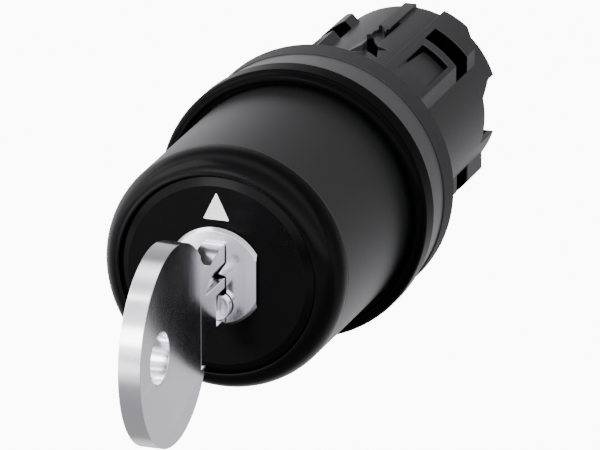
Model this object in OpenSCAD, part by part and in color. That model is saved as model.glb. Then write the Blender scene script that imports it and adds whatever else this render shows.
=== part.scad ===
// Key-operated selector actuator for a round 22 mm panel hole, with its key in the lock.
// The lock turns about the Y axis. The origin is on that axis at the panel plane, where the
// gasket's rear face rests. The operator stands at -Y and the contact blocks go on at +Y.

/* [Panel seat] */
// Diameter of the panel hole that the spigot fits
panel_hole_d = 22.3; // [22.3:0.1:24]
// Radial play of the spigot in the panel hole
spigot_play = 0.05; // [0.02:0.01:0.1]
// Length of the round spigot behind the gasket
spigot_l = 4.0; // [2:0.5:6]
// Thickness of the rubber gasket
gasket_t = 3.0; // [1:0.5:5]
// Thickness of the grey support ring
support_t = 4.4; // [2:0.2:8]

/* [Front housing] */
// Thickness of the body's front flange
flange_t = 1.6; // [1:0.1:3]
// Radial width of the bezel outside the sleeve
bezel_w = 1.8; // [1.2:0.1:4]
// Height of the bezel in front of the support ring
bezel_h = 3.1; // [2.4:0.1:6]
// Wall of the satin sleeve round the lock
sleeve_wall = 1.35; // [1:0.05:3]
// Length of the satin sleeve
sleeve_l = 19.9; // [14:0.1:30]
// Radial depth of the nose ring's rounded edge
nose_round = 2.25; // [1.5:0.05:2.4]
// Length of the nose ring's rounded edge
nose_curve = 3.2; // [2:0.1:3.4]
// Radial width of the nose ring's lip over the disc's flange
lip_w = 1.0; // [0.6:0.1:2]

/* [Lock] */
// Diameter of the turning plug
plug_d = 12.0; // [11:0.2:15]
// Diameter of the plug's chrome nose
nose_d = 10.56; // [9.5:0.02:10.8]
// Width over the two flats of the plug's nose
nose_flats = 8.92; // [8:0.05:9.4]
// How far the plug's nose stands out of the disc
nose_out = 0.5; // [0.2:0.1:1.5]
// Diameter of the lock pins
pin_d = 2.2; // [1.6:0.1:2.4]
// Distance between neighbouring pins
pin_pitch = 2.8; // [2.6:0.1:3]
// Number of pins
pin_count = 5; // [3:1:5]
// Length of a driver pin
driver_l = 2.2; // [1.5:0.1:3]
// Length of the space for a pin spring
pin_spring_l = 2.55; // [1.8:0.05:4]
// Thickness of the strip that closes the pin chambers
strip_t = 0.65; // [0.4:0.05:1]
// Thickness of the pointer disc's face plate
disc_t = 1.9; // [1.5:0.1:3]
// Height of the white pointer
mark_h = 2.95; // [2:0.05:3.4]
// Width of the white pointer's base
mark_w = 2.84; // [2:0.02:4]

/* [Key] */
// Thickness of the key's blade
blade_t = 2.3; // [1.8:0.1:2.5]
// Height of the key's blade
blade_h = 8.1; // [7:0.1:8.4]
// Length of the blade inside the plug
blade_in = 20.2; // [18.5:0.1:20.4]
// Length of the bare neck between plug and bow
neck_l = 7.3; // [5:0.1:12]
// Half length of the bow along the key
bow_r = 10.0; // [8:0.1:13]
// Half height of the bow
bow_h = 10.45; // [8:0.05:13]
// Thickness of the bow
bow_t = 2.4; // [2.3:0.05:3]
// Diameter of the key-ring hole
ring_hole_d = 5.4; // [4:0.1:8]

/* [Rear body] */
// Length of the body behind the panel plane
rear_l = 28.3; // [26:0.1:40]
// Outer diameter of the rear tube
tube_d = 20.0; // [18.8:0.1:20.2]
// Wall of the rear tube
tube_wall = 1.7; // [1.3:0.05:1.8]
// Width of the bayonet groove
bayonet_w = 3.6; // [2:0.1:4.5]
// Thickness of the wall between lock case and cam
bulkhead_t = 2.2; // [1.6:0.1:4]

/* [Drive] */
// Slope of the cam's inclined face, rise over run
cam_slope = 0.5; // [0.3:0.05:0.6]
// Diameter of a plunger rod
plunger_d = 3.0; // [2.4:0.1:3.4]
// Length of the rear guide
guide_l = 5.5; // [3:0.5:6.5]
// Wire diameter of a plunger spring
plunger_wire_d = 0.5; // [0.3:0.05:0.6]
// Diameter of the case screws' thread
screw_d = 2.0; // [1.6:0.1:2.2]

/* [Hidden] */
$fn = 96;

// Clearances: a turning or sliding fit, a loose seat, and the reach of a cut past a surface.
run_fit = 0.05;
seat_fit = 0.1;
past = 1;

// Places along Y, from the panel plane to the front.
support_y = -gasket_t;
flange_y = support_y - support_t;
case_y = flange_y - flange_t;
sleeve_front = case_y - sleeve_l;
bezel_front = flange_y - bezel_h;
nose_l = 3.95;
nose_front = sleeve_front - nose_l;
disc_front = nose_front + run_fit;
plug_front = disc_front - nose_out;
lip_back = disc_front + disc_t - seat_fit;
disc_back = disc_front + disc_t + 1.0;
case_front = disc_back + seat_fit;
plug_shoulder = disc_front + disc_t + 0.1;
rear_wall_t = 3.0;
plug_back = case_y - rear_wall_t - seat_fit;

// Radii of the lock and of what goes round it, from the axis outwards.
plug_r = plug_d / 2;
nose_r = nose_d / 2;
nose_x = nose_flats / 2;
bore_r = plug_r + run_fit;
pin_r = pin_d / 2;
chamber_r = pin_r + run_fit;
spring_r = plug_r + run_fit + driver_l;
strip_r = spring_r + pin_spring_l;
case_r = strip_r + strip_t + 0.05;
sleeve_in_r = case_r + seat_fit;
sleeve_r = sleeve_in_r + sleeve_wall;
bezel_r = sleeve_r + bezel_w;
disc_flange_r = sleeve_in_r - 0.2;
lip_r = sleeve_in_r - lip_w;
disc_r = lip_r - run_fit - 0.04;
face_r = disc_r - 0.92;
spigot_r = panel_hole_d / 2 - spigot_play;
ring_seat_r = spigot_r - 0.2;
support_r = bezel_r - 0.45;
gasket_r = support_r + 0.15;

// Rear tube, and what turns and slides inside it.
tube_r = tube_d / 2;
tube_in_r = tube_r - tube_wall;
guide_seat_r = tube_in_r + 0.3;
cam_r = tube_in_r - seat_fit;
bulkhead_back = case_y + bulkhead_t;
plunger_r = plunger_d / 2;
collar_r = plunger_r + 0.9;
plunger_x = tube_in_r - collar_r - 0.4;
guide_back = rear_l - 1.3;
guide_front = guide_back - guide_l;

// The lock's small parts.
stub_r = 3.1;
clip_groove_r = 2.5;
clip_r = 4.1;
clip_t = 0.6;
clip_y = case_y + 0.05;
stub_end = clip_y + clip_t + 0.7;
tail_x = 1.6;
tail_z = 3.6;
tail_front = stub_end - 3.0;
hub_front = bulkhead_back + seat_fit;
tail_back = hub_front + 4.7;
screw_ring_r = 6.0;
screw_head_r = 1.8;
screw_head_t = 1.4;
screw_deep = 2.0;
drum_front = bulkhead_back + screw_head_t + 0.8;
first_pin_y = case_front + 3.2;

// The keyway and the blade in it. The blade stands off the axis by as much as its top does.
blade_top = 3.4;
blade_low = blade_top - blade_h;
keyway_play = 0.07;
blade_x = blade_t / 2;
keyway_x = blade_x + keyway_play;
keyway_top = blade_top + 0.1;
keyway_low = blade_low - 0.1;
groove_top = 1.8;
groove_low = 0.1;
groove_deep = 1.0;
rib_r = 1.38;
rib_x = 0.55;
rib_z = -2.85;
bow_front = plug_front - neck_l;
blade_tip = plug_front + blade_in;
bow_y = bow_front - bow_r * 0.74;
bow_z = -2.15;
cut_depths = [1.2, 0.6, 1.6, 0.9, 1.3];

// The cam: its inclined face crosses the axis at cam_mid. A plunger's ball nose stays this far
// from the face.
cam_mid = 5.2;
nose_gap = 0.1;
slope_length = sqrt(1 + cam_slope * cam_slope);
ball_y = cam_mid + (plunger_r + nose_gap) * slope_length;
collar_y = ball_y + 2.4;
collar_t = 1.5;
plunger_back = rear_l - 0.3;

// The detent: three notches, 45 degrees apart, for the three switch positions.
step_angle = 45;
detent_y = drum_front + 0.4;
detent_w = 2.6;
detent_nose_r = 0.9;
detent_nose_at = cam_r + 0.5;
leaf_r = tube_in_r + 0.85;
leaf_t = 0.3;
leaf_half_angle = 34;

// Raised guides on the rear tube: turn, 1 if mirrored to the underside, the walls' distances
// from the axis on that turn, the height down to which the bayonet groove breaks through the
// tube, and the share of the lug's bevel.
block_walls = [[0, 0, 4.12, 8.45, 4.6, 1], [0, 1, 4.12, 8.6, 4.6, 0.1],
    [45, 0, -2.2, 3.0, 7.4, 1], [45, 1, -2.2, 3.0, 7.4, 1]];
block_front = spigot_l + 0.6;
block_back = 18.6;
lug_back = 27.3;
lug_bevel = [1.65, 2.5];
rail_w = 0.75;
rib_w = 1.4;
rib_top = tube_r + 0.37;
rib_front = 18.8;
latch_slot = [[0.5, 12.4], [2.0, 11.2], [1.45, 13.2], [2.45, 14.0], [0.95, 14.4], [0.85, 15.2],
    [0, 16.4], [-0.85, 18.2], [-1.4, 17.9]];
latch_pocket = [[0.7, 17.9], [-0.5, 20.1], [-1.0, 18.9], [-0.85, 18.1], [0, 16.3], [0.8, 15.1]];

// Lays a profile of [radius, y] points round the Y axis.
module turned(points) {
    rotate([-90, 0, 0]) rotate_extrude() polygon(points);
}

// A round bar along Y, from y0 to y1.
module bar(r, y0, y1) {
    translate([0, y0, 0]) rotate([-90, 0, 0]) cylinder(r = r, h = y1 - y0);
}

// A ring along Y, from y0 to y1.
module ring(r_in, r_out, y0, y1) {
    turned([[r_in, y0], [r_out, y0], [r_out, y1], [r_in, y1]]);
}

// Carries a flat [x, z] shape along Y, from y0 to y1.
module along(y0, y1) {
    translate([0, y1, 0]) rotate([90, 0, 0]) linear_extrude(y1 - y0) children();
}

// Carries a flat [y, z] shape across X, from x0 to x1.
module across(x0, x1) {
    translate([x0, 0, 0]) rotate([90, 0, 90]) linear_extrude(x1 - x0) children();
}

// Points of an arc round [cx, cy], with radii rx and ry.
function arc(cx, cy, rx, ry, a0, a1, steps = 24) =
    [for (i = [0:steps]) let (a = a0 + (a1 - a0) * i / steps) [cx + rx * cos(a), cy + ry * sin(a)]];

// A helical spring along +Z: rings of wire points, joined into one skin.
module coil(mean_r, wire_r, length, turns, sides = 8, steps = 14) {
    count = turns * steps;
    rise = length - 2 * wire_r;
    points = [for (i = [0:count]) let (a = 360 * i / steps, z = wire_r + rise * i / count)
        for (j = [0:sides - 1]) let (b = 360 * j / sides, r = mean_r + wire_r * cos(b))
            [r * cos(a), r * sin(a), z + wire_r * sin(b)]];
    skin = [for (i = [0:count - 1]) for (j = [0:sides - 1]) let (k = (j + 1) % sides)
        [i * sides + j, i * sides + k, (i + 1) * sides + k, (i + 1) * sides + j]];
    first_cap = [[for (j = [0:sides - 1]) sides - 1 - j]];
    last_cap = [[for (j = [0:sides - 1]) count * sides + j]];
    polyhedron(points, concat(skin, first_cap, last_cap));
}

// Repeats its child at each lock pin's place.
module at_pins() {
    for (i = [0:pin_count - 1]) translate([0, first_pin_y + i * pin_pitch, 0]) children();
}

// An upright round bar under the axis, from z0 down to z1.
module upright(r, z0, z1) {
    translate([0, 0, z1]) cylinder(r = r, h = z0 - z1, $fn = 32);
}

// ---- Housing ----

// One raised guide in its own turned place, with the bayonet groove behind it.
module guide_block(turn, x0, x1, bevel) {
    rotate([0, -turn, 0]) difference() {
        intersection() {
            ring(tube_in_r + 0.6, spigot_r, block_front, lug_back);
            along(0, lug_back) translate([x0, 0]) square([x1 - x0, spigot_r + past]);
        }
        // Bayonet groove, open at the far end.
        along(block_back, block_back + bayonet_w)
            translate([x0 + rail_w, tube_r * 0.3]) square([x1 - x0, spigot_r]);
        // Bevelled corner of the lug.
        linear_extrude(spigot_r + past)
            polygon([[x1 - lug_bevel[0] * bevel, lug_back], [x1, lug_back - lug_bevel[1] * bevel],
                [x1 + past, lug_back - lug_bevel[1] * bevel], [x1 + past, lug_back + past],
                [x1 - lug_bevel[0] * bevel, lug_back + past]]);
        // Sloping pocket in the guide's outer face.
        intersection() {
            along(9, 17) translate([x0 + 1.1, 0]) square([x1 - x0 - 1.5, spigot_r + past]);
            turned([[spigot_r + 0.02, 9], [spigot_r + past, 9], [spigot_r + past, 17],
                [spigot_r - 0.65, 17]]);
        }
    }
}

module actuator_body() {
    color([0.17, 0.17, 0.18]) difference() {
        union() {
            turned([[tube_in_r, bulkhead_back - 0.4], [tube_in_r, guide_front],
                [guide_seat_r, guide_front], [guide_seat_r, rear_l], [tube_r, rear_l],
                [tube_r, spigot_l], [spigot_r, spigot_l], [spigot_r, 0],
                [ring_seat_r, 0], [ring_seat_r, flange_y], [sleeve_r, flange_y],
                [sleeve_r, case_y], [clip_r + 0.3, case_y], [clip_r + 0.3, bulkhead_back],
                [tube_in_r, bulkhead_back]]);
            for (w = block_walls)
                mirror([0, 0, w[1]]) guide_block(w[0], w[2], w[3], w[5]);
            // Locating rib on top, with a ramp at its front end.
            across(-rib_w / 2, rib_w / 2) polygon([[rib_front - 2.2, tube_r - 0.6],
                [rear_l, tube_r - 0.6], [rear_l, rib_top], [rib_front + 1, rib_top]]);
            // Wedge-shaped catch beside the rib's slot.
            along(11.6, 13.6) polygon([[-2.2, tube_r - 0.6], [0.3, tube_r - 0.6],
                [0.3, spigot_r - 0.1], [-1.2, tube_r + 0.1]]);
        }
        // Each bayonet groove breaks through the tube.
        for (w = block_walls) mirror([0, 0, w[1]]) rotate([0, -w[0], 0])
            translate([w[2] + rail_w, block_back, w[4]])
                cube([w[3] - w[2] - rail_w - 0.02, bayonet_w, spigot_r]);
        // Latch slot in front of the rib, the pocket beside it and the slit along the rib.
        translate([0, 0, tube_r - 1.5]) linear_extrude(3) polygon(latch_slot);
        translate([0, 0, tube_r - 0.45]) linear_extrude(3) polygon(latch_pocket);
        translate([rib_w / 2 - 0.35, rib_front - 1.8, tube_r - 1.2])
            cube([0.5, 5.6, rib_top - tube_r + 1.05]);
        // Notches in the rear rim, one on each side.
        for (side = [0, 1]) mirror([side, 0, 0]) across(tube_in_r * 0.7, tube_r + past)
            polygon([[rear_l + past, 3.24], [rear_l - 1.8, 3.24], [rear_l - 4.45, 2.05],
                [rear_l - 4.45, -3.1], [rear_l + past, -3.1]]);
        // Screw holes through the bulkhead.
        for (side = [-1, 1]) translate([side * screw_ring_r, 0, 0])
            bar(screw_d / 2 + run_fit, case_y - past, bulkhead_back + past);
        // Pocket for the detent spring, under the cam.
        detent_arc(leaf_r + leaf_t + run_fit, leaf_half_angle + 3, detent_y - 0.1,
            detent_y + detent_w + 0.1, tube_in_r - 0.3);
    }
}

// A sector of a ring under the axis.
module detent_arc(r_out, half_angle, y0, y1, r_in) {
    rotate([-90, 0, 0]) rotate([0, 0, 90 - half_angle]) rotate_extrude(angle = 2 * half_angle)
        polygon([[r_in, y0], [r_out, y0], [r_out, y1], [r_in, y1]]);
}

module support_ring() {
    color([0.36, 0.36, 0.37]) ring(ring_seat_r + run_fit, support_r, flange_y, support_y);
}

module panel_gasket() {
    color([0.22, 0.22, 0.23]) ring(spigot_r + run_fit, gasket_r, support_y, 0);
}

module bezel_ring() {
    recess_y = bezel_front + 0.9;
    edge_in = sleeve_r + 0.65;
    color([0.03, 0.03, 0.035]) turned(concat(
        [[sleeve_r + seat_fit, recess_y], [edge_in, recess_y], [edge_in, bezel_front + 0.1]],
        arc(edge_in + 0.1, bezel_front + 0.1, 0.1, 0.1, 180, 270, 4),
        arc(edge_in + 0.35, flange_y - 1.2, bezel_r - edge_in - 0.35, bezel_h - 1.2, -90, 0),
        [[bezel_r, flange_y], [sleeve_r + seat_fit, flange_y]]));
}

module lock_sleeve() {
    color([0.1, 0.1, 0.105]) turned([[sleeve_in_r, sleeve_front],
        [sleeve_r - 0.1, sleeve_front], [sleeve_r, case_y], [sleeve_in_r, case_y]]);
}

module nose_ring() {
    ring_r = sleeve_r - 0.1;
    color([0.03, 0.03, 0.035]) turned(concat([[sleeve_in_r, sleeve_front], [ring_r, sleeve_front]],
        arc(ring_r - nose_round, nose_front + nose_curve, nose_round, nose_curve, 0, -90),
        [[lip_r, nose_front], [lip_r, lip_back], [sleeve_in_r, lip_back]]));
}

module lock_case() {
    seal_y = case_front + 1.05;
    color([0.7, 0.7, 0.72]) difference() {
        turned([[bore_r, case_front], [9.2, case_front], [9.2, seal_y], [10.4, seal_y],
            [10.4, case_front], [case_r, case_front], [case_r, case_y],
            [stub_r + run_fit, case_y], [stub_r + run_fit, case_y - rear_wall_t],
            [bore_r, case_y - rear_wall_t]]);
        at_pins() upright(chamber_r, -plug_r + 0.5, -case_r - past);
        // Bed of the closing strip.
        translate([-strip_x() - run_fit, strip_y0() - run_fit, -case_r - past])
            cube([2 * (strip_x() + run_fit), strip_y1() - strip_y0() + 2 * run_fit,
                case_r + past - strip_r]);
        for (side = [-1, 1]) translate([side * screw_ring_r, 0, 0])
            bar(screw_d / 2, case_y - screw_deep - 0.5, case_y + past);
    }
}

function strip_x() = pin_r + 0.7;
function strip_y0() = first_pin_y - pin_r - 0.6;
function strip_y1() = first_pin_y + (pin_count - 1) * pin_pitch + pin_r + 0.6;

module chamber_strip() {
    color([0.8, 0.66, 0.3])
        translate([-strip_x(), strip_y0(), -strip_r - strip_t])
            cube([2 * strip_x(), strip_y1() - strip_y0(), strip_t]);
}

module driver_pins() {
    color([0.8, 0.66, 0.3]) at_pins() upright(pin_r, -bore_r, -spring_r);
}

module pin_springs() {
    color([0.75, 0.75, 0.78]) at_pins() translate([0, 0, -strip_r])
        coil(pin_r - 0.2, 0.15, pin_spring_l, 4, 6, 10);
}

module disc_seal() {
    color([0.05, 0.05, 0.05]) rotate([-90, 0, 0]) rotate_extrude()
        translate([9.8, case_front + 0.5]) circle(r = 0.55, $fn = 24);
}

module case_screws() {
    color([0.75, 0.75, 0.78]) for (side = [-1, 1]) translate([side * screw_ring_r, 0, 0])
        difference() {
            union() {
                bar(screw_d / 2, case_y - screw_deep, bulkhead_back + 0.2);
                bar(screw_head_r, bulkhead_back, bulkhead_back + screw_head_t);
            }
            translate([-screw_head_r - past, bulkhead_back + screw_head_t - 0.6, -0.25])
                cube([2 * (screw_head_r + past), 0.6 + past, 0.5]);
        }
}

module detent_spring() {
    color([0.75, 0.75, 0.78]) {
        detent_arc(leaf_r + leaf_t, leaf_half_angle, detent_y, detent_y + detent_w, leaf_r);
        intersection() {
            translate([0, 0, -detent_nose_at])
                bar(detent_nose_r, detent_y, detent_y + detent_w);
            bar(leaf_r + 0.1, detent_y, detent_y + detent_w);
        }
    }
}

module rear_guide() {
    color([0.3, 0.3, 0.31]) difference() {
        bar(guide_seat_r - run_fit, guide_front, guide_back);
        for (side = [-1, 1]) translate([side * plunger_x, 0, 0])
            bar(plunger_r + run_fit, guide_front - past, guide_back + past);
        // Hollow in the middle of the rear face.
        bar(plunger_x - plunger_r - 1.2, guide_back - 2, guide_back + past);
    }
}

module plunger_spring(side) {
    color([0.75, 0.75, 0.78]) translate([side * plunger_x, collar_y + collar_t, 0])
        rotate([-90, 0, 0]) coil(plunger_r + 0.45, plunger_wire_d / 2,
            guide_front - collar_y - collar_t, 6);
}

module plunger_spring_left() plunger_spring(-1);

module plunger_spring_right() plunger_spring(1);

// ---- Rotor ----

// The keyway's outline with its ward, round groove and open sides.
module keyway_outline() {
    difference() {
        union() {
            translate([-keyway_x, keyway_low])
                square([2 * keyway_x, keyway_top - keyway_low]);
            translate([rib_x, rib_z]) circle(r = rib_r + keyway_play);
        }
        // Ward that enters the blade's right groove.
        polygon([[keyway_x + past, groove_top + 1.2], [keyway_x, groove_top - 0.1],
            [keyway_x - 0.85, groove_low + 0.3], [keyway_x, groove_low + 0.07],
            [keyway_x + past, groove_low + 0.07]]);
        // Ward that enters the blade's left groove.
        translate([-keyway_x - past, -1.45]) square([past + 0.62, 1.0]);
    }
}

module lock_plug() {
    color([0.8, 0.8, 0.82]) difference() {
        union() {
            intersection() {
                turned([[0, plug_front], [nose_r - 0.35, plug_front], [nose_r, plug_front + 0.35],
                    [nose_r, plug_shoulder + 0.2], [0, plug_shoulder + 0.2]]);
                translate([-nose_x, plug_front - past, -nose_r - past])
                    cube([2 * nose_x, plug_shoulder - plug_front + 2 * past + 1,
                        2 * (nose_r + past)]);
            }
            bar(plug_r, plug_shoulder, plug_back);
            turned([[0, plug_back - 0.1], [stub_r, plug_back - 0.1], [stub_r, clip_y],
                [clip_groove_r, clip_y], [clip_groove_r, clip_y + clip_t + 0.05],
                [stub_r, clip_y + clip_t + 0.05], [stub_r, stub_end], [0, stub_end]]);
        }
        along(plug_front - past, blade_tip + 0.2) keyway_outline();
        at_pins() upright(chamber_r, keyway_low + 0.5, -plug_r - past);
        translate([-tail_x / 2 - run_fit, tail_front, -tail_z / 2 - run_fit])
            cube([tail_x + 2 * run_fit, stub_end - tail_front + past, tail_z + 2 * run_fit]);
    }
}

module pointer_disc() {
    flange_front = lip_back + seat_fit;
    color([0.03, 0.03, 0.035]) difference() {
        turned([[0, disc_front], [face_r, disc_front], [disc_r, disc_front + 0.35],
            [disc_r, flange_front], [disc_flange_r, flange_front], [disc_flange_r, disc_back],
            [plug_r + 0.1, disc_back], [plug_r + 0.1, plug_shoulder], [0, plug_shoulder]]);
        intersection() {
            bar(nose_r + run_fit, disc_front - past, plug_shoulder + past);
            translate([-nose_x - run_fit, disc_front - past, -nose_r - past])
                cube([2 * (nose_x + run_fit), disc_t + 3 * past, 2 * (nose_r + past)]);
        }
        along(disc_front - past, disc_front + 0.5) pointer_outline(0.02);
    }
}

// The pointer's triangle, grown by a little for its pocket.
module pointer_outline(grow) {
    low = nose_r + 0.73;
    polygon([[-mark_w / 2 - grow, low - grow], [mark_w / 2 + grow, low - grow],
        [0, low + mark_h + 2 * grow]]);
}

module pointer_mark() {
    color([0.92, 0.92, 0.92]) along(disc_front - 0.02, disc_front + 0.5) pointer_outline(0);
}

module key_pins() {
    tip = 0.35;
    color([0.8, 0.66, 0.3]) at_pins() {
        upright(pin_r, keyway_low - tip, -plug_r + 0.13);
        translate([0, 0, keyway_low - tip])
            cylinder(r1 = pin_r, r2 = pin_r - tip, h = tip, $fn = 32);
    }
}

module plug_clip() {
    color([0.75, 0.75, 0.78]) rotate([-90, 0, 0]) rotate([0, 0, 125])
        rotate_extrude(angle = 290) polygon([[clip_groove_r + 0.03, clip_y], [clip_r, clip_y],
            [clip_r, clip_y + clip_t], [clip_groove_r + 0.03, clip_y + clip_t]]);
}

module drive_tail() {
    color([0.8, 0.66, 0.3]) translate([-tail_x / 2, tail_front, -tail_z / 2])
        cube([tail_x, tail_back - tail_front, tail_z]);
}

module cam_rotor() {
    high = cam_mid + cam_slope * (cam_r + past);
    low = cam_mid - cam_slope * (cam_r + past);
    color([0.85, 0.85, 0.83]) difference() {
        union() {
            bar(clip_r - 0.2, hub_front, drum_front + 0.2);
            bar(cam_r, drum_front, high);
        }
        // The inclined face: it rises towards +Z.
        across(-cam_r - past, cam_r + past)
            polygon([[low, -cam_r - past], [high, cam_r + past], [high + past, cam_r + past],
                [high + past, -cam_r - past]]);
        translate([-tail_x / 2 - run_fit, hub_front - past, -tail_z / 2 - run_fit])
            cube([tail_x + 2 * run_fit, tail_back - hub_front + past + seat_fit,
                tail_z + 2 * run_fit]);
        for (step = [-1, 0, 1]) rotate([0, step * step_angle, 0])
            translate([0, 0, -detent_nose_at]) bar(detent_nose_r + 0.1, detent_y - 0.1,
                detent_y + detent_w + 0.1);
    }
}

// ---- Key ----

// The blade's side view, with a cut for each pin.
module blade_side() {
    difference() {
        polygon([[bow_front - 1, bow_z + 7.65], [bow_front + 1.4, blade_top - 0.1],
            [bow_front + 2.7, blade_top - 0.5], [plug_front - 1.3, blade_top + 0.35],
            [plug_front - 0.1, blade_top + 0.35], [plug_front - 0.1, blade_top],
            [blade_tip - 0.8, blade_top], [blade_tip, blade_top - 1.6],
            [blade_tip, blade_low + 3.2], [blade_tip - 2.4, blade_low],
            [plug_front - 1.2, blade_low], [bow_front + 2.1, blade_low - 0.5],
            [bow_front, bow_z - 5.05], [bow_front - 1, bow_z - 5.05]]);
        for (i = [0:pin_count - 1]) let (y = first_pin_y + i * pin_pitch, d = cut_depths[i])
            polygon([[y - 0.4 - d, blade_low - 0.01], [y - 0.4, blade_low + d],
                [y + 0.4, blade_low + d], [y + 0.4 + d, blade_low - 0.01]]);
    }
}

// The right groove's V, in [x, z].
module groove_outline(reach) {
    polygon([[blade_x + reach, groove_top + reach * 1.4], [blade_x - groove_deep, groove_low + 0.3],
        [blade_x - groove_deep, groove_low], [blade_x + reach, groove_low]]);
}

module key() {
    groove_end = plug_front - 2.6;
    cutter_r = 5.6;
    step_end = plug_front - 2.65;
    rib_front_y = plug_front - 1.0;
    color([0.82, 0.82, 0.84]) difference() {
        union() {
            across(-bow_t / 2, bow_t / 2) difference() {
                polygon(arc(bow_y, bow_z, bow_r, bow_h, 0, 360 - 360 / 120, 119));
                translate([bow_front, bow_z - 5.2]) square([bow_r, 2 * bow_h]);
            }
            difference() {
                across(-blade_x, blade_x) blade_side();
                // Groove in the right side, with the cutter's round run-out.
                along(groove_end, blade_tip + past) groove_outline(0.1);
                translate([blade_x - groove_deep + cutter_r, groove_end, 0]) rotate_extrude()
                    polygon([[0, groove_low], [cutter_r, groove_low],
                        [cutter_r, groove_low + 0.3], [cutter_r - groove_deep - 0.1, groove_top + 0.14],
                        [0, groove_top + 0.14]]);
                // Step below it, and the groove in the left side.
                translate([0.35, step_end, rib_z - rib_r]) cube([past, blade_in, 2 * rib_r + 0.5]);
                translate([-blade_x - past, groove_end, -1.55]) cube([past + 0.65, 30, 1.2]);
            }
            // Round rib that fills the keyway's round groove.
            intersection() {
                translate([rib_x, 0, rib_z]) bar(rib_r, rib_front_y, blade_tip - 2.6);
                translate([0.3, rib_front_y - past, rib_z - rib_r]) cube([2, blade_in, 2 * rib_r]);
            }
        }
        across(-bow_t, bow_t) translate([bow_y - 4.4, bow_z + 0.2]) circle(r = ring_hole_d / 2);
    }
}

// ---- Plungers ----

module plunger(side) {
    color([0.9, 0.9, 0.88]) translate([side * plunger_x, 0, 0]) {
        translate([0, ball_y, 0]) sphere(r = plunger_r);
        bar(plunger_r, ball_y, plunger_back);
        bar(collar_r, collar_y, collar_y + collar_t);
    }
}

module plunger_left() plunger(-1);

module plunger_right() plunger(1);

actuator_body();
support_ring();
panel_gasket();
bezel_ring();
lock_sleeve();
nose_ring();
lock_case();
driver_pins();
pin_springs();
chamber_strip();
disc_seal();
case_screws();
detent_spring();
rear_guide();
plunger_spring_left();
plunger_spring_right();
lock_plug();
pointer_disc();
pointer_mark();
key_pins();
plug_clip();
drive_tail();
cam_rotor();
key();
plunger_left();
plunger_right();
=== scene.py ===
"""Finished pieces, materials, light and camera for the key-operated selector actuator.

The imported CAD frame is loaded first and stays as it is. Each operator makes one group of
finished pieces round it. Shapes are worked out in millimetres and stored in metres.
"""

import bmesh
import bpy
import numpy as np
from bpy.props import FloatProperty, FloatVectorProperty, PointerProperty
from mathutils import Matrix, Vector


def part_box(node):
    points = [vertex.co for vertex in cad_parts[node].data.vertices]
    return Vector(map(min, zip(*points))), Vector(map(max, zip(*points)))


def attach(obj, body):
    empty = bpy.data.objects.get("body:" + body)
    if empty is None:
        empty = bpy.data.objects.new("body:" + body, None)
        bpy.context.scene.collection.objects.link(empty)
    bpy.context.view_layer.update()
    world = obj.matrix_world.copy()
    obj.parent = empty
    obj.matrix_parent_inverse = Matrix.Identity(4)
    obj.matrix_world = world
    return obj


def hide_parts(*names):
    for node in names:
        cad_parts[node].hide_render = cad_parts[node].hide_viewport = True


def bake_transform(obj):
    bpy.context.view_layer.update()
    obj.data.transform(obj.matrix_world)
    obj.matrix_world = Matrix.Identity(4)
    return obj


bl_info = {
    "name": "Key Selector Actuator",
    "version": (1, 0, 0),
    "blender": (4, 5, 0),
    "location": "View3D > Sidebar > Selector",
    "description": "Finished pieces, materials and studio for a key-operated selector actuator",
    "category": "Object",
}

MM = 0.001
PURE_WHITE = 9.0  # emission strength that the view transform shows as white

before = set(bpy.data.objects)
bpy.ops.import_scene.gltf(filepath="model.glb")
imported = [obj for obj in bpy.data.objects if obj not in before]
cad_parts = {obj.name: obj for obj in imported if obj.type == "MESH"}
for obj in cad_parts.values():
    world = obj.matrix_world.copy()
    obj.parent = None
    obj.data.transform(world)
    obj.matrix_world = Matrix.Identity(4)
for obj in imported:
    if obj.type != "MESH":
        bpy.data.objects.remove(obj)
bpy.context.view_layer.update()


# ---- Settings ----


def length(name, text, value):
    """A length property in metres, its default given in millimetres."""
    return FloatProperty(
        name=name, description=text, default=value * MM, unit="LENGTH", precision=5
    )


def colour(name, text, value):
    """A linear colour property."""
    return FloatVectorProperty(
        name=name, description=text, default=value, subtype="COLOR", size=3, min=0, max=1
    )


class SelectorSizes(bpy.types.PropertyGroup):
    """Sizes of the fine details that the finished pieces add to the CAD shapes."""

    lip_round: length("Lip rounding", "Radius on the nose ring's inner lip", 0.14)
    nose_curve: length("Nose curve", "Length of the nose ring's rounded edge", 3.2)
    seam: length("Seam", "Radius on the edges where two rings meet", 0.07)
    disc_edge: length("Disc edge", "Radius at the ends of the disc's chamfer", 0.1)
    key_edge: length("Key edge", "Width of the key's worn edges", 0.06)
    plug_edge: length("Plug edge", "Width of the plug's broken edges", 0.05)
    body_edge: length("Body edge", "Width of the moulded edges of the rear body", 0.07)


class SelectorColours(bpy.types.PropertyGroup):
    """Base colours of the finishes."""

    gloss_black: colour("Gloss black", "Bezel, nose ring and disc", (0.0010, 0.0010, 0.0012))
    satin_black: colour("Satin black", "Sleeve round the lock", (0.0055, 0.0055, 0.0058))
    body: colour("Body plastic", "Rear body", (0.0085, 0.0085, 0.009))
    support: colour("Support plastic", "Grey support ring", (0.027, 0.027, 0.0285))
    rubber: colour("Rubber", "Panel gasket", (0.010, 0.010, 0.0105))
    pointer: colour("Pointer white", "Pointer mark", (0.78, 0.78, 0.80))
    nickel: colour("Nickel", "Key", (0.92, 0.91, 0.95))
    chrome: colour("Chrome", "Plug", (0.62, 0.61, 0.66))


# ---- Shader maths ----


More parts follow.
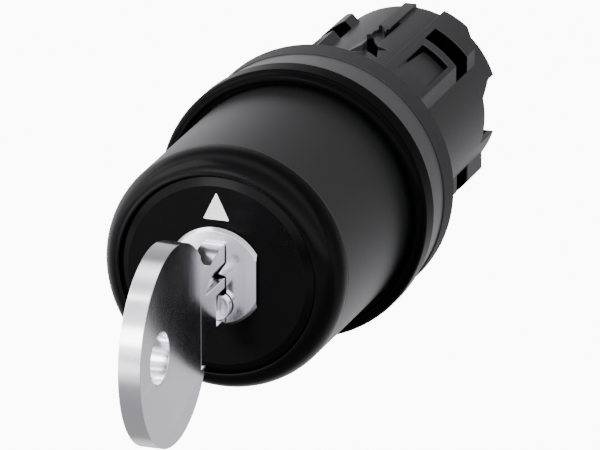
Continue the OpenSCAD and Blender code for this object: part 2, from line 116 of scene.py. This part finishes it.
class Link:
    """A socket of a node tree. Plain Python maths on it adds Math nodes."""

    def __init__(self, tree, socket=None):
        self.tree, self.socket = tree, socket

    def node(self, kind, inputs=None, output=0, stops=None, **settings):
        """Adds a node of this type with its settings, ramp stops and inputs; gives one output."""
        made = self.tree.nodes.new("ShaderNode" + kind)
        for key, value in settings.items():
            setattr(made, key, value)
        if stops:
            ramp = made.color_ramp
            while len(ramp.elements) < len(stops):
                ramp.elements.new(1)
            for element, (place, shade) in zip(ramp.elements, stops):
                element.position = place
                element.color = (shade, shade, shade, 1)
        for key, value in (inputs or {}).items():
            if isinstance(value, Link):
                self.tree.links.new(value.socket, made.inputs[key])
            else:
                made.inputs[key].default_value = value
        return Link(self.tree, made.outputs[output])

    def maths(self, operation, *values):
        """A Math node's result on these numbers and links."""
        return self.node("Math", dict(enumerate(values)), operation=operation)

    def __add__(self, other):
        return self.maths("ADD", self, other)

    __radd__ = __add__

    def __sub__(self, other):
        return self.maths("SUBTRACT", self, other)

    def __rsub__(self, other):
        return self.maths("SUBTRACT", other, self)

    def __mul__(self, other):
        return self.maths("MULTIPLY", self, other)

    __rmul__ = __mul__

    def __pow__(self, other):
        return self.maths("POWER", self, other)

    def clamp(self):
        """The value held between 0 and 1."""
        return self.node("Clamp", {"Value": self})

    def between(self, low, high):
        """0 below low, 1 above high and a smooth rise between them."""
        return self.node(
            "MapRange", {"Value": self, "From Min": low, "From Max": high},
            interpolation_type="SMOOTHSTEP",
        )

    def within(self, rise, on, off, fall):
        """1 from on to off, 0 below rise and above fall, and smooth between them."""
        return self.between(rise, on) * (1 - self.between(off, fall))


def axes(place):
    """The three coordinates of a place or a direction."""
    return [place.node("SeparateXYZ", {"Vector": place}, output=k) for k in range(3)]


def noise(place, scale, detail=2.0, stretch=(1, 1, 1), shift=(0, 0, 0)):
    """A noise value from 0 to 1, whose blotches are about 1 / scale metres across."""
    at = place.node("Mapping", {"Vector": place, "Scale": stretch, "Location": shift})
    return place.node("TexNoise", {"Vector": at, "Scale": scale, "Detail": detail})


def tinted(link, mask, low, high):
    """The colour low where the mask is 0 and high where it is 1."""
    return link.node(
        "Mix", {"Factor": mask, "A": (*low, 1), "B": (*high, 1)}, output="Result",
        data_type="RGBA",
    )


def begin(name):
    """A new material: gives it, a link on its object coordinates and its main shader."""
    made = bpy.data.materials.new(name + "_finish")
    made.use_nodes = True
    tree = made.node_tree
    tree.nodes.clear()
    place = Link(tree).node("TexCoord", output="Object")
    shader = tree.nodes.new("ShaderNodeBsdfPrincipled")
    out = tree.nodes.new("ShaderNodeOutputMaterial")
    tree.links.new(shader.outputs[0], out.inputs[0])
    return made, place, shader


def fit(shader, **inputs):
    """Sets the main shader's inputs: a Link is linked and a number is set on the socket."""
    for key, value in inputs.items():
        socket = shader.inputs[key.replace("_", " ")]
        if isinstance(value, Link):
            value.tree.links.new(value.socket, socket)
        else:
            socket.default_value = value


def shifted(shade, factor):
    """A colour made lighter or darker by a factor."""
    return tuple(min(1.0, c * factor) for c in shade)


def moulded(name, shade, rough, grain=0.25, grain_height=0.006, gloss=0.5, edge_wear=0.5,
            painted_shade=None):
    """Moulded plastic: fine spark-eroded grain, faint flow clouds and paler rubbed edges.

    Where the given shade mask is 1, the surface is painted an unlit black: painted shade in deep
    recesses and cuts.
    """
    made, place, shader = begin(name)
    cloud = noise(place, 90, 3, stretch=(1, 0.35, 1))
    grains = noise(place, 1000 / grain, 3)
    rub = place.node("NewGeometry", output="Pointiness").between(0.52, 0.60)
    mask = (cloud * 0.6 + grains * 0.4 + rub * edge_wear).clamp()
    fit(
        shader,
        Base_Color=tinted(place, mask, shifted(shade, 0.8), shifted(shade, 1.45)),
        Roughness=(grains * 0.10 + cloud * 0.08 + (rough - 0.09)).clamp(),
        Normal=place.node("Bump", {
            "Height": grains + cloud * 0.3, "Strength": 0.5, "Distance": grain_height * MM,
        }),
        Specular_IOR_Level=gloss,
    )
    # Painted shade: an unlit black shader takes over where the shade mask is 1.
    if painted_shade:
        tree = place.tree
        black = tree.nodes.new("ShaderNodeBsdfPrincipled")
        fit(black, Base_Color=(0.001, 0.001, 0.001, 1), Roughness=1.0, Specular_IOR_Level=0.0)
        both = place.node("MixShader", {
            0: painted_shade(place), 1: Link(tree, shader.outputs[0]), 2: Link(tree, black.outputs[0]),
        })
        tree.links.new(both.socket, tree.get_output_node("ALL").inputs[0])
    return made


def either(first, second):
    """The larger of two masks."""
    return first.maths("MAXIMUM", first, second)


def painted_recess_shade(place):
    """1 inside the tube, on the bayonet grooves' walls and on the window's far edges, else 0:
    where it is 1 the body is painted black as painted shade.

    Inside the tube means its bore and the lower part of the cuts into it. Places are in
    millimetres. The leaning guides are turned by 45 degrees, so their grooves are
    found from (x + |z|) and (|z| - x), each times the square root of a half.
    """
    x, y, z = (axis * 1000 for axis in axes(place))
    radius = (x * x + z * z) ** 0.5
    high = z.maths("ABSOLUTE", z)
    along, outward = (x + high) * 0.5 ** 0.5, (high - x) * 0.5 ** 0.5

    upright = x.within(4.5, 4.6, 8.42, 8.45) * high.between(4.5, 4.6)
    leaning = along.within(-1.75, -1.65, 2.97, 3.0) * outward.between(7.2, 7.3)
    # Painted shade on the walls of the bayonet grooves.
    walls = y.within(18.5, 18.58, 22.22, 22.3) * either(upright, leaning)
    walls = walls * (1 - radius.between(11.0, 11.05))

    # Painted shade in the tube's bore, beyond the front of the body.
    inside = (1 - radius.between(9.30, 9.50)) * y.between(2, 3)

    # Painted shadow lines along the window's rear and left walls.
    back = y.within(16.86, 16.92, 17.02, 17.06) * x.within(5.15, 5.19, 8.08, 8.12)
    side = y.within(11, 12, 17.02, 17.06) * x.within(5.15, 5.19, 5.30, 5.34)
    window = either(back, side) * z.between(4.5, 4.6) * (1 - radius.between(10.98, 11.04))
    return either(either(inside, walls), window)


def polished(name, shade, rough, index):
    """Polished black plastic: almost no grain, a faint swell and a few hairline rubs."""
    made, place, shader = begin(name)
    swell = noise(place, 160, 1)
    hair = noise(place, 900, 2, stretch=(1, 6, 1)).between(0.62, 0.72)
    dust = noise(place, 2600, 1).between(0.70, 0.78)
    fit(
        shader,
        Base_Color=tinted(place, dust, shade, shifted(shade, 2.2)),
        Roughness=(swell * 0.06 + hair * 0.05 + (rough - 0.03)).clamp(),
        Normal=place.node("Bump", {
            "Height": swell, "Strength": 0.25, "Distance": 0.02 * MM,
        }),
        IOR=index,
    )
    return made


def rubber(name, shade):
    """Matt rubber: coarse soft grain and a dusty bloom."""
    made, place, shader = begin(name)
    grains = noise(place, 5200, 3)
    bloom = noise(place, 260, 4)
    fit(
        shader,
        Base_Color=tinted(place, bloom * 0.7 + grains * 0.3,
                          shifted(shade, 0.8), shifted(shade, 1.5)),
        Roughness=(grains * 0.12 + 0.58).clamp(),
        Normal=place.node("Bump", {
            "Height": grains, "Strength": 0.6, "Distance": 0.012 * MM,
        }),
        IOR=1.42,
    )
    return made


def metal(name, shade, rough, brush=(1, 1, 0.04), brushing=0.35, scratches=0.5, crown=0.0):
    """Plated metal: brushed lines along the direction with the small stretch, and fine rubs.

    A crown makes faces across Y lean outwards by crown * 2 * their distance from the Y axis in
    metres, as polishing does.
    """
    made, place, shader = begin(name)
    lines = noise(place, 7000, 3, stretch=brush)
    cloud = noise(place, 220, 3)
    rub = noise(place, 1500, 3, stretch=(1, 0.08, 1), shift=(3, 1, 2)).between(0.60, 0.74)
    edge = place.node("NewGeometry", output="Pointiness").between(0.52, 0.58)
    height = {"Height": lines + rub * scratches, "Strength": brushing, "Distance": 0.004 * MM}
    if crown:
        x, _, z = axes(place)
        height["Normal"] = place.node("Bump", {
            "Height": (x * x + z * z) * -crown, "Strength": 1.0, "Distance": 1.0,
        })
    fit(
        shader,
        Metallic=1.0,
        Base_Color=tinted(place, (cloud * 0.5 + lines * 0.3 + edge * 0.3).clamp(),
                          shifted(shade, 0.86), shifted(shade, 1.06)),
        Roughness=(lines * 0.08 + cloud * 0.06 + rub * (0.10 * scratches)
                   + (rough - 0.07)).clamp(),
        Normal=place.node("Bump", height),
    )
    return made


# ---- Shapes ----


def put(name, points, faces, body, slot, material, *nodes):
    """Makes one finished piece from points in millimetres, facing outwards, riding on a body."""
    points, faces = np.asarray(points, float), np.asarray(faces, int)
    a, b, c = (points[faces[:, k]] for k in (0, 1, 2))
    volume = np.einsum("ij,ij->i", a, np.cross(b, c)).sum()
    if faces.shape[1] == 4:
        d = points[faces[:, 3]]
        volume += np.einsum("ij,ij->i", a, np.cross(c, d)).sum()
    if volume < 0:
        faces = faces[:, ::-1]
    mesh = bpy.data.meshes.new(name)
    mesh.from_pydata((points * MM).tolist(), [], faces.tolist())
    work = bmesh.new()
    work.from_mesh(mesh)
    bmesh.ops.remove_doubles(work, verts=work.verts, dist=1e-7)
    bmesh.ops.dissolve_degenerate(work, edges=work.edges, dist=1e-8)
    work.to_mesh(mesh)
    work.free()
    mesh.shade_smooth()
    piece = bpy.data.objects.new(name, mesh)
    bpy.context.scene.collection.objects.link(piece)
    weighted = piece.modifiers.new("Even normals", "WEIGHTED_NORMAL")
    weighted.mode = "FACE_AREA"
    weighted.keep_sharp = True
    return settle(piece, body, slot, material, *nodes)


def settle(piece, body, slot, material, *nodes):
    """Gives a finished piece its material and body, and hides the CAD nodes it stands for. The
    slot is not used.

    A piece that bends between two bodies has no body of its own here.
    """
    piece.data.materials.clear()
    piece.data.materials.append(material)
    if body:
        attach(piece, body)
    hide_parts(*nodes)
    return piece


def rounded(corners, steps=8):
    """A closed outline with every corner replaced by an arc.

    corners holds rows of first coordinate, second coordinate and radius. Each arc touches both
    sides of its corner at radius / tan(half the corner's angle), and runs between them round
    the centre on the corner's bisector.
    """
    corners = np.asarray(corners, float)
    at, radius = corners[:, :2], corners[:, 2:3]
    back = np.roll(at, 1, axis=0) - at
    on = np.roll(at, -1, axis=0) - at
    back /= np.linalg.norm(back, axis=1, keepdims=True)
    on /= np.linalg.norm(on, axis=1, keepdims=True)
    half = np.arccos(np.clip((back * on).sum(1, keepdims=True), -1, 1)) / 2
    middle = back + on
    middle /= np.linalg.norm(middle, axis=1, keepdims=True)
    centre = at + middle * radius / np.sin(half)
    first = at + back * radius / np.tan(half) - centre
    last = at + on * radius / np.tan(half) - centre
    turn = np.pi - 2 * half
    share = np.linspace(0, 1, steps + 1)[None, :, None]
    turn = turn[:, None]
    arc = (np.sin((1 - share) * turn) * first[:, None] + np.sin(share * turn) * last[:, None])
    return (centre[:, None] + arc / np.sin(turn)).reshape(-1, 2)


def closed_grid(rows, columns):
    """Quads of a grid that closes on itself both ways, point number row * columns + column."""
    i, j = np.meshgrid(np.arange(rows), np.arange(columns), indexing="ij")
    i2, j2 = (i + 1) % rows, (j + 1) % columns
    return np.stack(
        [i * columns + j, i * columns + j2, i2 * columns + j2, i2 * columns + j], -1
    ).reshape(-1, 4)


def turned(outline, columns=288, inner=None):
    """Lays a closed outline of radius and place along Y round the Y axis.

    A point is (r sin t, y, r cos t). Where inner is given, the outline's third column is a share
    w, and r = (1 - w) * radius + w * inner(t), so that part of the outline follows a hole.
    """
    t = np.linspace(0, 2 * np.pi, columns, endpoint=False)[None, :]
    r = outline[:, :1] * np.ones_like(t)
    if inner is not None:
        share = outline[:, 2:3]
        r = (1 - share) * r + share * inner(t)
    y = outline[:, 1:2] * np.ones_like(t)
    points = np.stack([r * np.sin(t), y, r * np.cos(t)], -1).reshape(-1, 3)
    return points, closed_grid(len(outline), columns)


def span(node):
    """A CAD node's largest radius and its places along Y, in millimetres."""
    low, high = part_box(node)
    return high.x / MM, low.y / MM, high.y / MM


def bow(r, y, wide, long, start, stop, steps):
    """Points r + wide cos a, y + long sin a of an elliptic arc, a in degrees."""
    a = np.radians(np.linspace(start, stop, steps + 1))
    return np.stack([r + wide * np.cos(a), y + long * np.sin(a)], -1)


def ring(corners, steps=8):
    """The surface of a ring whose section has these rounded corners."""
    return turned(rounded(corners, steps))


def softened(name, node, width, segments, body, slot, material, angle=28, merge=0.002):
    """A merged copy of a CAD node with its sharp edges rounded over."""
    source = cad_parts[node]
    mesh = source.data.copy()
    mesh.name = name
    work = bmesh.new()
    work.from_mesh(mesh)
    bmesh.ops.remove_doubles(work, verts=work.verts, dist=merge * MM)
    bmesh.ops.dissolve_degenerate(work, edges=work.edges, dist=merge * MM)
    bmesh.ops.dissolve_limit(
        work, angle_limit=np.radians(0.6), verts=work.verts, edges=work.edges,
        delimit={"NORMAL"},
    )
    work.to_mesh(mesh)
    work.free()
    mesh.shade_smooth()
    if mesh.has_custom_normals:
        mesh.attributes.remove(mesh.attributes["custom_normal"])
    piece = bpy.data.objects.new(name, mesh)
    bpy.context.scene.collection.objects.link(piece)
    bevel = piece.modifiers.new("Edges", "BEVEL")
    bevel.width = width
    bevel.segments = segments
    bevel.limit_method = "ANGLE"
    bevel.angle_limit = np.radians(angle)
    bevel.use_clamp_overlap = False
    bevel.miter_outer = "MITER_ARC"
    bevel.harden_normals = True
    return settle(piece, body, slot, material, node)


# ---- Pieces ----


class SelectorOperator:
    """What the operators share: where the settings are."""

    bl_options = {"REGISTER", "UNDO"}

    @property
    def sizes(self):
        return bpy.context.scene.selector_sizes

    @property
    def shades(self):
        return bpy.context.scene.selector_colours


class SELECTOR_OT_front_rings(SelectorOperator, bpy.types.Operator):
    """Makes the nose ring, the satin sleeve and the gloss bezel"""

    bl_idname = "selector.front_rings"
    bl_label = "Front rings"

    def execute(self, context):
        seam = self.sizes.seam / MM
        gloss = polished("gloss_black", tuple(self.shades.gloss_black), 0.24, index=1.16)
        dull = polished("bezel_black", tuple(self.shades.gloss_black), 0.24, index=1.09)
        satin = moulded("satin_black", tuple(self.shades.satin_black), 0.36,
                        grain=0.12, grain_height=0.003)
        sleeve_r, sleeve_y0, sleeve_y1 = span("lock_sleeve")
        nose_r, nose_y0, nose_y1 = span("nose_ring")
        bore, lip_r, lip_depth = 11.6, 10.6, 1.85
        lip = self.sizes.lip_round / MM
        curve = self.sizes.nose_curve / MM
        put("nose_ring_finished", *turned(np.concatenate([
            [[bore, nose_y1]], bow(nose_r - seam, nose_y1 - seam, seam, seam, 90, 0, 6),
            bow(lip_r + lip, nose_y0 + curve, nose_r - lip_r - lip, curve, 0, -90, 40),
            bow(lip_r + lip, nose_y0 + lip, lip, lip, -90, -180, 8),
            [[lip_r, nose_y0 + lip_depth], [bore, nose_y0 + lip_depth]],
        ])), "housing", "gloss_black", gloss, "nose_ring")
        put("lock_sleeve_finished", *ring([
            [bore, sleeve_y0, 0.05], [sleeve_r - 0.1, sleeve_y0, seam],
            [sleeve_r, sleeve_y1, 0.05], [bore, sleeve_y1, 0.05],
        ]), "housing", "satin_black", satin, "lock_sleeve")
        bezel_r, bezel_y0, bezel_y1 = span("bezel_ring")
        inner, edge, sunk, shoulder = sleeve_r + 0.1, sleeve_r + 0.65, 0.9, 0.95
        put("bezel_ring_finished", *ring([
            [inner, bezel_y0 + sunk, 0.04], [edge, bezel_y0 + sunk, 0.1],
            [edge, bezel_y0, 0.12], [bezel_r, bezel_y0, shoulder],
            [bezel_r, bezel_y1, 0.1], [inner, bezel_y1, 0.05],
        ], steps=14), "housing", "gloss_black", dull, "bezel_ring")
        return {"FINISHED"}


class SELECTOR_OT_panel_rings(SelectorOperator, bpy.types.Operator):
    """Makes the grey support ring and the rubber gasket behind the bezel"""

    bl_idname = "selector.panel_rings"
    bl_label = "Panel rings"

    def execute(self, context):
        inner, soft_inner = 10.98, 10.98 + 0.2
        support = moulded("support_plastic", tuple(self.shades.support), 0.36,
                          grain=0.2, grain_height=0.006, gloss=1.0)
        soft = rubber("gasket_rubber", tuple(self.shades.rubber))
        r, y0, y1 = span("support_ring")
        put("support_ring_finished", *ring([
            [inner, y0, 0.05], [r, y0, 0.12], [r, y1, 0.1], [inner, y1, 0.05],
        ]), "housing", "support_plastic", support, "support_ring")
        r, y0, y1 = span("panel_gasket")
        put("panel_gasket_finished", *ring([
            [soft_inner, y0, 0.05], [r, y0, 0.1], [r, y1, 0.08], [soft_inner, y1, 0.05],
        ]), "housing", "gasket_rubber", soft, "panel_gasket")
        return {"FINISHED"}


class SELECTOR_OT_pointer_face(SelectorOperator, bpy.types.Operator):
    """Makes the turning disc with its opening for the plug, and the white pointer"""

    bl_idname = "selector.pointer_face"
    bl_label = "Pointer face"

    def execute(self, context):
        gloss = polished("disc_black", tuple(self.shades.gloss_black), 0.2, index=1.16)
        white = moulded("pointer_white", tuple(self.shades.pointer), 0.42,
                        grain=0.15, grain_height=0.002, edge_wear=0.2)
        flange_r, front, back = span("pointer_disc")
        hole_r, flat_x, step_r, face_r, rim_r = 5.32, 4.50, 6.1, 9.59, 10.51
        chamfer, flange, step = front + 0.35, front + 1.9, front + 2.0
        edge = self.sizes.disc_edge / MM
        corners = np.array([
            [hole_r, step, 0.03, 1], [hole_r, front, 0.08, 1], [face_r, front, edge, 0],
            [rim_r, chamfer, edge, 0], [rim_r, flange, 0.05, 0],
            [flange_r, flange, 0.05, 0], [flange_r, back, 0.05, 0],
            [step_r, back, 0.05, 0], [step_r, step, 0.05, 0],
        ])
        outline = rounded(corners[:, :3])
        follows = np.repeat(corners[:, 3:], len(outline) // len(corners), axis=0)

        def opening(t):
            """The plug opening's radius: its circle, or the nearer flat at x = +-flat_x."""
            shift = np.minimum(hole_r, flat_x / np.maximum(np.abs(np.sin(t)), 1e-6))
            return shift + (outline[:, :1] - hole_r)

        put("pointer_disc_finished", *turned(np.hstack([outline, follows]), 360, opening),
            "rotor", "gloss_black", gloss, "pointer_disc")

        low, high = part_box("pointer_mark")
        half, base, tip = high.x / MM, low.z / MM, high.z / MM
        flat = rounded([[-half, base, 0.1], [half, base, 0.1], [0, tip, 0.08]], steps=6)
        put("pointer_mark_finished", *tablet(flat, low.y / MM, high.y / MM, 0.03),
            "rotor", "pointer_white", white, "pointer_mark")
        return {"FINISHED"}


def tablet(flat, y0, y1, edge):
    """A flat convex outline in X and Z carried along Y, with its front edge rounded over.

    Ring k stands at y0 + edge * (1 - sin a) and is drawn in by edge * (1 - cos a) along the
    outline's own inward direction, a running from 90 degrees to 0. Fans close both ends.
    """
    tangent = np.roll(flat, -1, axis=0) - np.roll(flat, 1, axis=0)
    tangent /= np.linalg.norm(tangent, axis=1, keepdims=True)
    inward = np.stack([-tangent[:, 1], tangent[:, 0]], -1)
    a = np.radians([90, 60, 30, 0])
    drawn = np.concatenate([edge * (1 - np.cos(a)), [0]])
    y = np.concatenate([y0 + edge * (1 - np.sin(a)), [y1]])
    rings = flat[None] + inward[None] * drawn[:, None, None]
    count = len(flat)
    skin = np.concatenate(
        [rings[..., :1], np.broadcast_to(y[:, None, None], rings[..., :1].shape), rings[..., 1:]],
        -1,
    ).reshape(-1, 3)
    middle = flat.mean(0)
    points = np.concatenate([skin, [[middle[0], y0, middle[1]], [middle[0], y1, middle[1]]]])
    last = (len(y) - 1) * count
    sides = closed_grid(len(y), count)[:last]
    j = np.arange(count)
    j2 = (j + 1) % count
    front, back = np.full(count, len(skin)), np.full(count, len(skin) + 1)
    return points, np.concatenate([
        sides[:, [0, 1, 2]], sides[:, [0, 2, 3]],
        np.stack([j2, j, front], -1), np.stack([last + j, last + j2, back], -1),
    ])


class SELECTOR_OT_lock_metal(SelectorOperator, bpy.types.Operator):
    """Makes the chrome plug and the nickel key with softened edges"""

    bl_idname = "selector.lock_metal"
    bl_label = "Plug and key"

    def execute(self, context):
        chrome = metal("plug_chrome", tuple(self.shades.chrome), 0.16, brush=(1, 0.04, 1),
                       brushing=0.1, scratches=0.5, crown=6.6)
        nickel = metal("key_nickel", tuple(self.shades.nickel), 0.16, brush=(1, 1, 0.04),
                       brushing=0.04, scratches=0.3)
        softened("lock_plug_finished", "lock_plug", self.sizes.plug_edge, 2, "rotor",
                 "plug_chrome", chrome)
        softened("key_finished", "key", self.sizes.key_edge, 3, "key", "key_nickel", nickel)
        return {"FINISHED"}


class SELECTOR_OT_rear_body(SelectorOperator, bpy.types.Operator):
    """Makes the moulded rear body with its guides, rib, catch and notches"""

    bl_idname = "selector.rear_body"
    bl_label = "Rear body"

    def execute(self, context):
        # The body's cuts, groove walls and bore are painted black as painted shade.
        plastic = moulded("body_plastic", tuple(self.shades.body), 0.42,
                          grain=0.22, grain_height=0.008, painted_shade=painted_recess_shade)
        softened("actuator_body_finished", "actuator_body", self.sizes.body_edge, 3, "housing",
                 "body_plastic", plastic)
        return {"FINISHED"}


class SELECTOR_OT_inner_parts(SelectorOperator, bpy.types.Operator):
    """Gives the inner parts of the lock and the drive their finishes"""

    bl_idname = "selector.inner_parts"
    bl_label = "Inner parts"

    def execute(self, context):
        steel = metal("spring_steel", (0.62, 0.62, 0.65), 0.28, brush=(1, 1, 0.1),
                      brushing=0.2)
        brass = metal("brass", (0.78, 0.58, 0.26), 0.26, brush=(1, 0.06, 1), brushing=0.25)
        cast = metal("die_cast", (0.52, 0.52, 0.54), 0.42, brush=(1, 1, 1), brushing=0.5)
        seal = rubber("seal_rubber", (0.012, 0.012, 0.013))
        cam = moulded("cam_plastic", (0.62, 0.62, 0.59), 0.45, grain=0.2, grain_height=0.005)
        guide = moulded("guide_plastic", (0.075, 0.075, 0.08), 0.45,
                        grain=0.2, grain_height=0.006)
        finishes = {
            "die_cast": (cast, "lock_case"),
            "brass": (brass, "driver_pins", "chamber_strip", "key_pins", "drive_tail"),
            "spring_steel": (steel, "pin_springs", "case_screws", "detent_spring", "plug_clip"),
            "seal_rubber": (seal, "disc_seal"),
            "guide_plastic": (guide, "rear_guide"),
            "cam_plastic": (cam, "cam_rotor", "plunger_left", "plunger_right"),
        }
        for slot, (material, *nodes) in finishes.items():
            for name in nodes:
                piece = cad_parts[name]
                piece.data.materials.clear()
                piece.data.materials.append(material)
        for side in ("left", "right"):
            name = f"plunger_spring_{side}"
            low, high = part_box(name)
            wound = coil(low / MM, high / MM, wire=0.5, turns=6)
            spring = put(name + "_finished", *wound, None, "spring_steel", steel, name)
            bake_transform(spring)
        return {"FINISHED"}


def coil(low, high, wire, turns, steps=48, sides=12):
    """A round wire wound round an axis along Y inside a box, closed by a point at each end.

    The wire's middle is at x + r sin a, y, z + r cos a, with y rising evenly with the angle a,
    and its skin is wire / 2 from the middle, towards the axis' radius and towards Y.
    """
    middle = (np.array(low) + np.array(high)) / 2
    r = (high[0] - low[0] - wire) / 2
    a = np.linspace(0, 2 * np.pi * turns, turns * steps + 1)[:, None]
    y = np.linspace(low[1] + wire / 2, high[1] - wire / 2, len(a))[:, None]
    b = np.linspace(0, 2 * np.pi, sides, endpoint=False)[None, :]
    thick = np.full_like(a, wire / 2)
    thick[0] = thick[-1] = 0
    out = r + thick * np.cos(b)
    points = np.stack([
        middle[0] + out * np.sin(a), y + thick * np.sin(b), middle[2] + out * np.cos(a),
    ], -1).reshape(-1, 3)
    return points, closed_grid(len(a), sides)[:-sides]


class SELECTOR_OT_stage(SelectorOperator, bpy.types.Operator):
    """Makes the pale floor, the soft studio light and the camera"""

    bl_idname = "selector.stage"
    bl_label = "Studio"

    def execute(self, context):
        scene = bpy.context.scene
        pale = bpy.data.materials.new("pale_floor")
        pale.use_nodes = True
        shader = pale.node_tree.nodes["Principled BSDF"]
        fit(shader, Base_Color=(0.9, 0.9, 0.9, 1), Roughness=0.9,
            Emission_Color=(1, 1, 1, 1), Emission_Strength=PURE_WHITE)
        mesh = bpy.data.meshes.new("floor")
        reach, level = 12.0, -0.09
        mesh.from_pydata([(-reach, -reach, level), (reach, -reach, level),
                          (reach, reach, level), (-reach, reach, level)], [], [(0, 1, 2, 3)])
        mesh.materials.append(pale)
        floor = bpy.data.objects.new("floor", mesh)
        scene.collection.objects.link(floor)
        floor.visible_glossy = floor.visible_diffuse = floor.visible_shadow = False
        scene.world = studio_light()
        soft_box("left_box", (-0.45, -0.25, 0.45), (0, -0.02, 0), size=(0.35, 0.5), power=3)

        azimuth, elevation = np.radians(19.57), np.radians(19.64)
        ca, sa, ce, se = np.cos(azimuth), np.sin(azimuth), np.cos(elevation), np.sin(elevation)
        right, up, back = (ca, sa, 0), (-sa * se, ca * se, ce), (sa * ce, -ca * ce, se)
        seat = (0.2639, -0.7498, 0.2781)
        lens = bpy.data.cameras.new("camera")
        lens.lens, lens.sensor_width = 480, 36
        lens.clip_start, lens.clip_end = 0.01, 100
        camera = bpy.data.objects.new("camera", lens)
        camera.matrix_world = Matrix(
            [[right[i], up[i], back[i], seat[i]] for i in range(3)] + [[0, 0, 0, 1]]
        )
        scene.collection.objects.link(camera)
        scene.camera = camera
        return {"FINISHED"}


FRONT_LIGHTS = (
    (-150, 0.3), (-110, 0.1), (-60, 0.1), (-32, 0.12), (-14, 0.45), (-10, 0.04), (-2, 0.04),
    (4, 0.7), (22, 1.0), (36, 0.6), (60, 0.4), (84, 0.3), (102, 0.8), (118, 0.5), (126, 0.03),
    (136, 0.03), (146, 0.35),
)


def studio_light():
    """The studio as seen by the pieces.

    FRONT_LIGHTS gives the brightness in front by the degrees above the horizon: soft boxes with
    narrow gaps between them. Behind, a wall is bright to the left and below. There is a lamp at
    the far left, one in front and a little to the left, and a round window in front, further
    to the left and just below the horizon.
    """
    world = bpy.data.worlds.new("studio")
    world.use_nodes = True
    tree = world.node_tree
    tree.nodes.clear()
    way = Link(tree).node("TexCoord", output="Generated")
    x, y, z = axes(way)
    turn = z.maths("ARCTAN2", z, 0 - y) * (1 / (2 * np.pi)) + 0.5
    front = turn.node("ValToRGB", {"Fac": turn}, stops=[
        (degrees / 360 + 0.5, level) for degrees, level in FRONT_LIGHTS
    ]) * 4.0
    wall = (1 - ((x + z) * 0.5 ** 0.5).between(-0.4, 0.45)) * 0.78 + 0.33
    behind = y.between(0.25, 0.65)
    beside = (0 - x).between(0.66, 0.92) * 1.6
    lamp = turn.within(0.528, 0.545, 0.575, 0.6)
    lamp = lamp * (1 - (x + 0.3).maths("ABSOLUTE", x + 0.3).between(0.08, 0.2)) * 7.0
    window = (x * -0.52 + y * -0.846 + z * -0.119).between(0.9744, 0.9925) * 9.0
    level = front * (1 - behind) + wall * behind + beside + lamp + window
    glow = level.node("Background", {"Color": (0.97, 0.97, 1, 1), "Strength": level})
    plain = level.node("Background", {"Color": (1, 1, 1, 1), "Strength": PURE_WHITE})
    seen = level.node("LightPath", output="Is Camera Ray")
    mixed = level.node("MixShader", {0: seen, 1: glow, 2: plain})
    out = tree.nodes.new("ShaderNodeOutputWorld")
    tree.links.new(mixed.socket, out.inputs["Surface"])
    return world


def soft_box(name, place, target, size, power):
    """A rectangular soft light at a place, facing a target; power in watts."""
    light = bpy.data.lights.new(name, "AREA")
    light.shape = "RECTANGLE"
    light.size, light.size_y = size
    light.energy = power
    box = bpy.data.objects.new(name, light)
    back = np.subtract(place, target).astype(float)
    back /= np.linalg.norm(back)
    right = np.cross((0, 0, 1), back)
    right /= np.linalg.norm(right)
    up = np.cross(back, right)
    box.matrix_world = Matrix(
        [[right[i], up[i], back[i], place[i]] for i in range(3)] + [[0, 0, 0, 1]]
    )
    box.visible_camera = False
    bpy.context.scene.collection.objects.link(box)
    return box


PIECES = (
    SELECTOR_OT_front_rings, SELECTOR_OT_panel_rings, SELECTOR_OT_pointer_face,
    SELECTOR_OT_lock_metal, SELECTOR_OT_rear_body, SELECTOR_OT_inner_parts, SELECTOR_OT_stage,
)


class SELECTOR_PT_panel(bpy.types.Panel):
    """Lists the finished pieces and the settings"""

    bl_idname = "SELECTOR_PT_panel"
    bl_label = "Key Selector"
    bl_space_type = "VIEW_3D"
    bl_region_type = "UI"
    bl_category = "Selector"

    def draw(self, context):
        layout = self.layout
        for kind in PIECES:
            layout.operator(kind.bl_idname)
        for group in (context.scene.selector_sizes, context.scene.selector_colours):
            box = layout.box()
            for key in type(group).__annotations__:
                box.prop(group, key)


CLASSES = (SelectorSizes, SelectorColours, *PIECES, SELECTOR_PT_panel)


def register():
    for kind in CLASSES:
        bpy.utils.register_class(kind)
    bpy.types.Scene.selector_sizes = PointerProperty(type=SelectorSizes)
    bpy.types.Scene.selector_colours = PointerProperty(type=SelectorColours)


def unregister():
    del bpy.types.Scene.selector_colours
    del bpy.types.Scene.selector_sizes
    for kind in reversed(CLASSES):
        bpy.utils.unregister_class(kind)


def main():
    """Makes every piece and the studio."""
    register()
    for kind in PIECES:
        group, name = kind.bl_idname.split(".")
        getattr(getattr(bpy.ops, group), name)()


if __name__ == "__main__":
    main()
